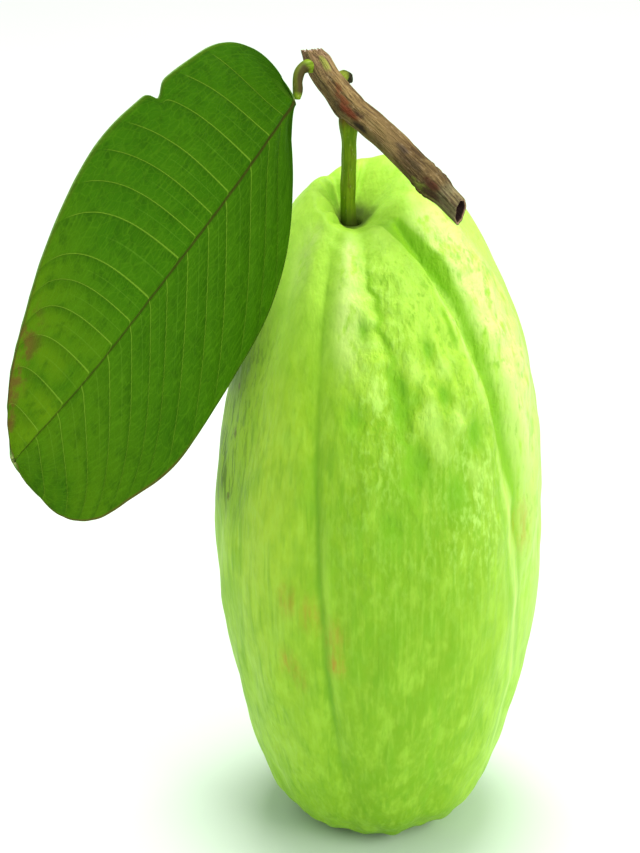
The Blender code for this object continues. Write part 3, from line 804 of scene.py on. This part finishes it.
def make_bark():
    """Finish of the twig: grey brown bark in long streaks, with a red scar, a leaf scar and a green graze"""
    finish = Finish("twig_bark", Specular_IOR_Level=0.15)
    rod = finish.noted("along_rod", "Vector")
    place = finish.noted("rod_place")
    reach = finish.noted("rod_reach")
    here = finish.here()
    fibres = rod.stretched(0.1).cloud(0.42, 4.0, 0.6)
    bands = rod.stretched(0.16, (7.0, 3.0, 1.0)).cloud(1.5, 3.0, 0.55)
    patches = here.cloud(3.6, 3.0)
    rugged = here.cloud(1.1, 4.0, 0.65)
    specks = rod.stretched(0.45).cells(0.8).between(0.3, 0.12)
    smooth = place.within(0.38, 0.47, 0.58, 0.66)
    finish.colour = finish.paint(bands.between(0.35, 0.65), (0.105, 0.058, 0.019), (0.27, 0.175, 0.066))
    finish.coat(smooth * 0.6, (0.235, 0.155, 0.058))
    finish.coat(place.between(0.6, 0.72) * 0.5, (0.085, 0.056, 0.02))
    finish.coat(place.between(0.86, 0.91) * 0.7, (0.2, 0.175, 0.085))
    finish.coat(place.between(0.2, 0.06) * 0.5, (0.27, 0.16, 0.09))
    finish.coat(patches.between(0.52, 0.7) * 0.35, (0.33, 0.23, 0.085))
    lines = fibres.between(0.52, 0.64) * (1.0 - 0.65 * smooth)
    finish.coat(lines * 0.75, (0.04, 0.02, 0.009))
    finish.coat(fibres.between(0.42, 0.3) * 0.35, (0.45, 0.33, 0.17))
    finish.coat(rugged.between(0.56, 0.7) * (1.0 - smooth) * 0.5, (0.06, 0.035, 0.014))
    finish.coat(specks * 0.25, (0.44, 0.33, 0.18))
    edge = 0.9 * (rugged - 0.5) + 0.7 * (fibres - 0.5)
    long_place = rod.stretched(0.35)
    for way, turn, width, strength, tint in TWIG_MARKS:
        angle = np.radians(turn)
        spot = (TWIG_RADIUS * np.cos(angle), TWIG_RADIUS * np.sin(angle), 0.35 * TWIG_LENGTH * way)
        off = long_place.away_from(spot) + edge
        finish.coat(off.between(width * 1.25, width * 0.45) * strength, tint)
    hollow_end = place.between(0.5, 0.99)
    torn_end = place.between(0.05, 0.0)
    finish.coat(reach.between(0.97, 0.92) * hollow_end, (0.38, 0.22, 0.13))
    # Painted shade inside the hollow end, within its pale rim
    finish.coat(reach.between(0.86, 0.78) * hollow_end, (0.022, 0.008, 0.006))
    finish.coat(reach.between(0.97, 0.85) * torn_end * 0.9, (0.74, 0.56, 0.43))
    finish.lead(Base_Color=finish.colour, Roughness=0.62 + 0.28 * bands)
    first = finish.relief(bands * 0.8 + patches * 0.3, 0.5)
    finish.lead(Normal=finish.relief(0.0 - fibres.between(0.42, 0.62), 0.16, first))
    return finish


def twig_radius(turn, place):
    """Radius of the twig, knotted and ridged with bark"""
    knot = 0.1 * hump(place, 0.29, 0.05) - 0.3 * hump(place, 0.0, 0.04)
    knot += 0.05 * hump(place, 0.8, 0.045) - 0.17 * ease(place, 0.85, 0.91)
    ridge = 0.035 * np.sin(3 * turn + 7 * place) + 0.03 * np.sin(7 * turn - 5 * place)
    node = 0.15 * hump(place, 0.8, 0.04) * np.clip(np.cos(turn - NODE_TURN), 0.0, 1.0)
    coords = np.column_stack([np.cos(turn), np.sin(turn), place * 41.0])
    bark = 0.045 * grain(coords, (0.34, 0.34, 5.0), 2.3) + 0.03 * grain(coords, (0.16, 0.16, 2.4), 5.9)
    ring_scars = 0.035 * hump(place, 0.755, 0.008) - 0.05 * hump(place, 0.775, 0.006)
    ring_scars += 0.04 * hump(place, 0.835, 0.008) - 0.05 * hump(place, 0.82, 0.005)
    ring_scars -= 0.04 * hump(place, 0.34, 0.012)
    return TWIG_RADIUS * (1.0 + knot + ridge + node + bark + ring_scars)


def twig_slope(off, turn, ring, ahead):
    """Slants the cut across the hollow end and tears the upper end"""
    last = TWIG_RINGS + len(TWIG_TORN) - 1
    near_cut = np.clip((ring - last + 26) / 26.0, 0.0, 1.0)
    cut = -(off @ CUT_FACING) / (ahead @ CUT_FACING) * near_cut
    near_tear = np.clip(1.0 - (ring - len(TWIG_TORN)) / 14.0, 0.0, 1.0)
    spikes = 0.45 * np.abs(np.sin(turn * 4.5 + 0.7)) + 0.3 * np.abs(np.sin(turn * 11.0)) - 0.35
    tear = -(off @ np.array([-0.4, 0.0, -0.25]) + spikes) * near_tear
    return cut + tear


def make_twig():
    """The twig: barked, torn at its upper end, cut across its hollow pith at the other"""
    steps = rod_steps(TWIG_RINGS, TWIG_TORN, TWIG_MOUTH)
    twig = shape_rod(TWIG_LINE, 96, *steps, twig_radius, twig_slope)
    settle(twig, "guava_twig", "twig", make_bark())


def make_green_bark(name, body_colour, dark_colour, light_colour):
    """Finish of a young green shoot: streaked along, browner at its ends, with pale specks"""
    finish = Finish(name, Specular_IOR_Level=0.08)
    rod = finish.noted("along_rod", "Vector")
    place = finish.noted("rod_place")
    streaks = rod.stretched(0.12).cloud(0.6, 4.0, 0.6)
    patches = rod.cloud(2.2, 3.0)
    specks = rod.stretched(0.5).cells(0.6).between(0.26, 0.1)
    finish.colour = finish.paint(streaks.between(0.35, 0.65), body_colour, light_colour)
    finish.coat(streaks.between(0.56, 0.68) * 0.5, dark_colour)
    finish.coat(patches.between(0.56, 0.72) * 0.45, dark_colour)
    finish.coat(specks * 0.3, (0.45, 0.46, 0.16))
    return finish, place, streaks, patches


def make_fruit_stalk():
    """The green stalk from the cavity of the fruit up into the twig"""
    finish, place, streaks, patches = make_green_bark(
        "green_stalk_skin", (0.115, 0.215, 0.003), (0.08, 0.075, 0.004), (0.19, 0.3, 0.006)
    )
    finish.coat(place.between(0.36, 0.2) * 0.8, (0.055, 0.075, 0.012))
    finish.coat(place.between(0.84, 0.95) * 0.8, (0.14, 0.035, 0.014))
    finish.lead(Base_Color=finish.colour, Roughness=0.45 + 0.2 * patches)
    finish.lead(Normal=finish.relief(streaks + 0.6 * patches, 0.12))

    def radius_at(turn, place):
        flare = 0.34 * hump(place, 0.9, 0.1) + 0.08 * hump(place, 0.16, 0.08)
        ridges = 0.05 * np.sin(4 * turn + 3 * place) + 0.03 * np.sin(9 * turn - 6 * place)
        return STALK_RADIUS * (1.0 + flare + ridges + 0.03 * np.sin(31 * place))

    steps = rod_steps(110, ((0.3, 0.0), (0.75, 0.02), (0.95, 0.05)), ((0.95, 0.06), (0.7, 0.12), (0.3, 0.15)))
    stalk = shape_rod(STALK_LINE, 64, *steps, radius_at)
    settle(stalk, "guava_fruit_stalk", "fruit_stalk", finish)


def make_side_bud():
    """The blunt scaly bud behind the twig"""
    finish, place, streaks, patches = make_green_bark(
        "bud_scale_skin", (0.12, 0.15, 0.01), (0.05, 0.036, 0.01), (0.22, 0.28, 0.025)
    )
    scales = (place + 0.3 * (patches - 0.5)).between(0.42, 0.66)
    finish.coat(scales * 0.95, (0.016, 0.011, 0.008))
    finish.lead(Base_Color=finish.colour, Roughness=0.6 + 0.2 * patches)
    finish.lead(Normal=finish.relief(streaks + patches - scales, 0.15))

    def radius_at(turn, place):
        body = smooth_curve(np.linspace(0, 1, 9), (1.25, 1.2, 1.1, 1.05, 1.0, 0.98, 0.9, 0.72, 0.45), place)
        steps = 0.08 * hump(place, 0.55, 0.05) + 0.06 * hump(place, 0.8, 0.04)
        return BUD_RADIUS * (body + steps + 0.05 * np.sin(3 * turn + 9 * place) + 0.03 * np.sin(8 * turn))

    steps = rod_steps(40, ((0.3, 0.0), (0.8, 0.02)), ((0.85, 0.08), (0.55, 0.14), (0.25, 0.17)))
    bud = shape_rod(BUD_LINE, 40, *steps, radius_at)
    settle(bud, "guava_side_bud", "side_bud", finish)


def make_leaf_stalk():
    """The hooked leaf stalk, swollen where it leaves the twig"""
    finish, place, streaks, patches = make_green_bark(
        "leaf_stalk_green", (0.115, 0.19, 0.005), (0.07, 0.06, 0.006), (0.21, 0.32, 0.015)
    )
    rod = finish.noted("along_rod", "Vector")
    # The brown middle is the stalk's own colour; painted shade darkens it further on one side
    shaded_side = (rod.part(0) + 0.8 * (patches - 0.5)).between(0.55, -0.35)
    middle = (place + 0.2 * (patches - 0.5)).between(0.28, 0.42) * place.between(0.97, 0.88)
    finish.coat((0.65 + 0.35 * shaded_side) * middle * 0.95, (0.05, 0.032, 0.01))
    finish.coat(place.between(0.12, 0.02) * 0.6, (0.16, 0.08, 0.03))
    finish.lead(Base_Color=finish.colour, Roughness=0.42 + 0.2 * patches)
    finish.lead(Normal=finish.relief(streaks + 0.5 * patches, 0.1))

    def radius_at(turn, place):
        body = smooth_curve((0.0, 0.25, 0.45, 0.7, 0.93, 1.0), (1.35, 1.3, 1.05, 0.95, 0.85, 0.65), place)
        return LEAF_STALK_RADIUS * (body + 0.05 * np.sin(3 * turn + 6 * place) + 0.02 * np.sin(25 * place))

    steps = rod_steps(70, ((0.3, 0.0), (0.8, 0.02)), ((0.9, 0.06), (0.6, 0.1), (0.25, 0.12)))
    stalk = shape_rod(LEAF_STALK_LINE, 40, *steps, radius_at)
    settle(stalk, "guava_leaf_stalk", "leaf_stalk", finish)


def make_calyx():
    """The dried calyx: a flat wrinkled star in the recess under the fruit"""
    finish = Finish("dried_calyx_brown")
    here = finish.here()
    rod = finish.noted("along_rod", "Vector")
    reach = finish.noted("rod_reach")
    papery = here.cloud(1.2, 4.0, 0.65)
    wrinkles = rod.stretched(0.1).cloud(0.5, 3.0)
    finish.colour = finish.paint(papery.between(0.35, 0.65), (0.07, 0.042, 0.018), (0.2, 0.13, 0.055))
    finish.coat(reach.between(0.45, 0.25) * 0.7, (0.035, 0.02, 0.01))
    finish.coat(wrinkles.between(0.55, 0.7) * 0.5, (0.3, 0.21, 0.1))
    finish.lead(Base_Color=finish.colour, Roughness=0.75 + 0.2 * papery)
    finish.lead(Normal=finish.relief(papery + wrinkles, 0.25))

    def radius_at(turn, place):
        lobe = np.abs(np.cos(turn * SEPALS / 2)) ** 0.6
        return CALYX_WAIST + (CALYX_RADIUS - CALYX_WAIST) * lobe + 0.08 * np.sin(17 * turn) - 0.08

    def wrinkle(off, turn, ring, ahead):
        out = np.hypot(off[:, 0], off[:, 1])
        folds = 0.1 * np.sin(25 * turn + 2 * np.sin(3 * turn)) * np.clip(out / 4.0, 0.0, 1.0)
        return np.where(ring < CALYX_RINGS, np.abs(folds), folds - 0.1)

    under = np.linspace(0.05, 0.97, CALYX_RINGS)
    hollow = 0.45 * hump(under, 0.0, 0.32) + 0.12 * hump(under, 0.42, 0.05)
    factors = np.concatenate([under, [1.0, 1.0], under[::-1]])
    forwards = np.concatenate([hollow, [0.15, 0.85], [0.9] * CALYX_RINGS])
    steps = (np.zeros(len(factors)), factors, forwards)
    calyx = shape_rod(((0.0, 0.0, 0.02), (0.0, 0.0, 1.02)), 120, *steps, radius_at, wrinkle)
    settle(calyx, "guava_calyx", "calyx", finish)


def vein_phase(along, across):
    """Number of the side vein through each point of the blade, with fractions between veins"""
    share = np.abs(across)
    table = np.linspace(0.0, 1.0, 240)
    reach = np.interp(table, VEIN_STARTS, VEIN_REACHES)
    start = np.zeros_like(along)
    for k, (way, off) in enumerate(zip(along, share)):
        start[k] = np.interp(way, table + reach * off * (0.6 + 0.4 * off**2), table)
    upper = np.interp(start, UPPER_VEINS, np.arange(len(UPPER_VEINS)))
    lower = np.interp(start, LOWER_VEINS, np.arange(len(LOWER_VEINS)))
    return np.where(across > 0, upper, lower)


def blade_places(along, across, phase):
    """Places of the blade's points, and the direction that its upper face looks"""
    upper = across > 0
    share = np.abs(across)
    midrib = smooth_curve(np.linspace(0.0, 1.0, 5), LEAF_MIDRIB, along)
    angle = np.arccos(1.0 - 2.0 * along) / np.pi
    stations = np.linspace(0.0, 1.0, 13)
    upper_half = smooth_curve(stations, UPPER_HALF, angle)
    half = np.where(upper, upper_half, smooth_curve(stations, LOWER_HALF, angle))
    half -= upper * NOTCH_DEPTH * share**6 * hump(along, NOTCH_PLACE, 0.016)
    length = Vector(LEAF_MIDRIB[-1]) - Vector(LEAF_MIDRIB[0])
    facing = np.array(UPPER_ACROSS.cross(length).normalized())
    quilt = 0.34 * np.abs(np.sin(np.pi * phase)) ** 0.8 * np.sin(np.pi * share) ** 0.5
    bow = -0.9 * np.sin(np.pi * share) - 1.0 * share**3
    wave = 0.7 * share**3 * np.sin(9.0 * along + np.where(upper, 0.0, 2.0)) * np.sin(np.pi * along)
    rib = -0.32 * hump(share * half, 0.0, 0.75)
    rise = (bow + wave + quilt + rib) * np.minimum(1.0, half / 6.0)
    across_way = np.where(upper[:, None], np.array(UPPER_ACROSS), np.array(LOWER_ACROSS))
    return midrib + across_way * (half * share)[:, None] + facing * rise[:, None], half * share, facing


def make_leaf_green():
    """Finish of the leaf: deep green, painted light on the upper half, with sharp pale veins and a brown
    midrib
    """
    finish = Finish("leaf_green", Specular_IOR_Level=0.03)
    across, along = finish.map_parts("blade_map")
    phase = finish.noted("vein_phase")
    from_rib = finish.noted("from_rib")
    under = finish.noted("under_face")
    here = finish.here()
    side = across.between(0.49, 0.51)
    share = ((across - 0.5) * 2.0).math("ABSOLUTE")
    net_place = finish.node(
        "ShaderNodeCombineXYZ", {}, (phase * 4.0 + 3.0 * side, share * 22.0, side * 5.0)
    )
    net = net_place.cells(1.0, "DISTANCE_TO_EDGE")
    hatch_place = finish.node("ShaderNodeCombineXYZ", {}, (phase * 1.2, share * 60.0, side * 9.0))
    hatch = hatch_place.cloud(1.0, 2.0)
    clouds = here.cloud(9.0, 3.0)
    blotches = here.cloud(3.0, 4.0, 0.65)
    # Painted light: the upper half lighter, as it faces the light
    finish.colour = finish.paint(side, (0.029, 0.105, 0.0006), (0.031, 0.118, 0.0006))
    finish.coat(clouds.between(0.35, 0.7) * 0.4, (0.044, 0.14, 0.001))
    yellower = along.between(0.55, 0.92) * (0.35 + 0.5 * side)
    finish.coat(yellower * clouds.between(0.2, 0.55) * 0.85, (0.115, 0.215, 0.002))
    shade = along.between(0.42, 0.12) * from_rib.between(22.0, 4.0)
    finish.coat(shade * 0.45, (0.02, 0.075, 0.0005))
    finish.coat(blotches.between(0.48, 0.68) * 0.5, (0.017, 0.066, 0.0005))
    step = phase - phase.math("FLOOR")
    shaded = step.between(0.45, 0.02) * share.between(0.05, 0.3)
    finish.coat(shaded * 0.4, (0.017, 0.068, 0.0005))
    lit = step.between(0.5, 0.95) * share.between(0.95, 0.5)
    finish.coat(lit * 0.3, (0.06, 0.175, 0.002))
    finish.coat(hatch.between(0.48, 0.7) * 0.3, (0.075, 0.2, 0.004))
    finish.coat(net.between(0.09, 0.0) * 0.22, (0.085, 0.21, 0.006))
    off_vein = (phase - phase.math("ROUND")).math("ABSOLUTE")
    vein_width = 0.04 - 0.02 * share
    vein = off_vein.between(vein_width, vein_width * 0.35) * share.between(0.97, 0.86)
    vein = vein * phase.between(0.4, 0.7)
    finish.coat(vein * (0.42 + 0.16 * side), (0.19, 0.33, 0.022))
    half_phase = phase * 2.0
    off_half = (half_phase - half_phase.math("ROUND")).math("ABSOLUTE") * 0.5
    weak = off_half.between(0.022, 0.006) * share.between(0.7, 0.35)
    finish.coat(weak * 0.2, (0.15, 0.3, 0.025))
    rib_width = 0.56 - 0.38 * along
    rib = from_rib.between(rib_width, rib_width * 0.45)
    finish.coat(rib * (0.95 - 0.45 * along), (0.045, 0.05, 0.006))
    tip = along.between(0.77, 0.88) * side * share.between(0.5, 0.85)
    finish.coat(tip * blotches.between(0.42, 0.6) * 0.6, (0.16, 0.055, 0.02))
    margin = share.between(0.972, 0.992)
    brown = (along + 0.3 * (1.0 - side)).between(0.78, 0.95)
    finish.coat(margin * (0.15 + 0.6 * brown), (0.1, 0.06, 0.015))
    pale = finish.paint(net.between(0.12, 0.0) * 0.4, (0.17, 0.31, 0.07), (0.3, 0.42, 0.14))
    pale = finish.paint(vein, pale, (0.36, 0.46, 0.16))
    pale = finish.paint(from_rib.between(1.0, 0.6), pale, (0.36, 0.42, 0.14))
    finish.coat(under, pale)
    finish.lead(Base_Color=finish.colour, Roughness=0.5 + 0.16 * blotches + 0.1 * under)
    height = 0.0 - vein - 0.35 * net.between(0.14, 0.0) + 0.3 * hatch - rib
    finish.lead(Normal=finish.relief(height, 0.1))
    return finish


def make_leaf():
    """The leaf blade: a fine sheet folded along its midrib, quilted between its veins, given its wall"""
    bpy.ops.object.select_all(action="DESELECT")
    bpy.ops.mesh.primitive_grid_add(
        x_subdivisions=BLADE_ROWS, y_subdivisions=BLADE_COLUMNS, size=1.0, calc_uvs=False
    )
    leaf = bpy.context.object
    sheet = points_of(leaf)
    along = (1.0 - np.cos(np.pi * np.clip(sheet[:, 0] + 0.5, 0.0, 1.0))) / 2.0
    across = np.sign(sheet[:, 1]) * np.abs(2.0 * sheet[:, 1]) ** 0.9
    phase = vein_phase(along, across)
    place, from_rib, facing = blade_places(along, across, phase)
    off_vein = np.abs(phase - np.rint(phase))
    sink = 0.07 * hump(off_vein, 0.0, 0.05) * ease(np.abs(across), 1.0, 0.8)
    place -= facing * sink[:, None]
    place_points(leaf, place)
    note_values(leaf, "vein_phase", phase)
    note_values(leaf, "from_rib", from_rib)
    note_map(leaf, "blade_map", across * 0.5 + 0.5, along)
    note_values(leaf, "under_face", np.zeros(len(place)))
    hold(leaf)
    bpy.ops.object.modifier_add(type="SOLIDIFY")
    leaf.modifiers["Solidify"].thickness = BLADE_WALL * MM
    leaf.modifiers["Solidify"].offset = 0.0
    bpy.ops.object.modifier_apply(modifier="Solidify")
    walls = points_of(leaf) / MM
    single = len(place)
    top_first = (walls[:single] - walls[single : 2 * single]).mean(axis=0) @ facing > 0
    low = slice(single, 2 * single) if top_first else slice(0, single)
    rib = 0.75 * hump(from_rib, 0.0, 0.75) * (1.0 - 0.6 * along) + 0.16 * hump(off_vein, 0.0, 0.06)
    rib *= ease(np.abs(across), 1.0, 0.75) * np.minimum(1.0, along * 20.0)
    walls[low] -= facing * rib[:, None]
    place_points(leaf, walls)
    leaf.data.attributes["under_face"].data.foreach_set(
        "value", np.where(np.arange(len(walls)) // single == (1 if top_first else 0), 1.0, 0.0)
    )
    settle(leaf, "guava_leaf", "leaf_blade", make_leaf_green())


def make_studio():
    """Pale floor, soft light from the upper right and a camera at the photograph's angle"""
    bpy.ops.object.select_all(action="DESELECT")
    bpy.ops.mesh.primitive_plane_add(size=6.0)
    floor = bpy.context.object
    floor.name = "studio_floor"
    bpy.ops.object.mode_set(mode="EDIT")
    bpy.ops.mesh.select_all(action="SELECT")
    bpy.ops.mesh.subdivide(number_cuts=7)
    bpy.ops.object.mode_set(mode="OBJECT")
    paper = Finish("studio_paper", Roughness=0.9)
    mottle = paper.here().cloud(40.0, 3.0)
    paper.lead(Base_Color=paper.paint(mottle, (0.72, 0.82, 0.715), (0.735, 0.83, 0.73)))
    floor.data.materials.append(paper.material)

    world = bpy.data.worlds.new("studio")
    world.use_nodes = True
    world.node_tree.nodes["Background"].inputs["Color"].default_value = (0.89, 1.0, 0.91, 1.0)
    world.node_tree.nodes["Background"].inputs["Strength"].default_value = 0.62
    bpy.context.scene.world = world

    middle = Vector((0.0, 0.0, 0.075))
    for name, place, size, power, colour in (
        ("key", (0.02, 0.12, 1.1), 0.5, 12.2, (1.0, 0.99, 0.98)),
        ("side", (0.55, -0.4, 0.4), 0.5, 3.2, (1.0, 1.0, 0.97)),
    ):
        lamp = bpy.data.lights.new(name, "AREA")
        lamp.size = size
        lamp.energy = power
        lamp.color = colour
        light = bpy.data.objects.new(name, lamp)
        light.location = place
        light.rotation_euler = (middle - Vector(place)).to_track_quat("-Z", "Y").to_euler()
        bpy.context.scene.collection.objects.link(light)

    aim = Vector((-10.23, 0.0, 81.37)) * MM
    forward = Vector((0.0, np.cos(np.radians(25.0)), -np.sin(np.radians(25.0))))
    lens = bpy.data.cameras.new("photo_view")
    lens.sensor_width = 36.0
    lens.lens = 36.0 * 0.6 / (853 * 0.000186)
    lens.clip_start = 0.01
    camera = bpy.data.objects.new("photo_view", lens)
    camera.location = aim - forward * 0.6
    camera.rotation_euler = forward.to_track_quat("-Z", "Y").to_euler()
    bpy.context.scene.collection.objects.link(camera)
    bpy.context.scene.camera = camera
    bpy.context.scene.view_settings.view_transform = "Standard"


def main():
    make_studio()
    make_fruit()
    make_calyx()
    make_twig()
    make_fruit_stalk()
    make_side_bud()
    make_leaf_stalk()
    make_leaf()


main()
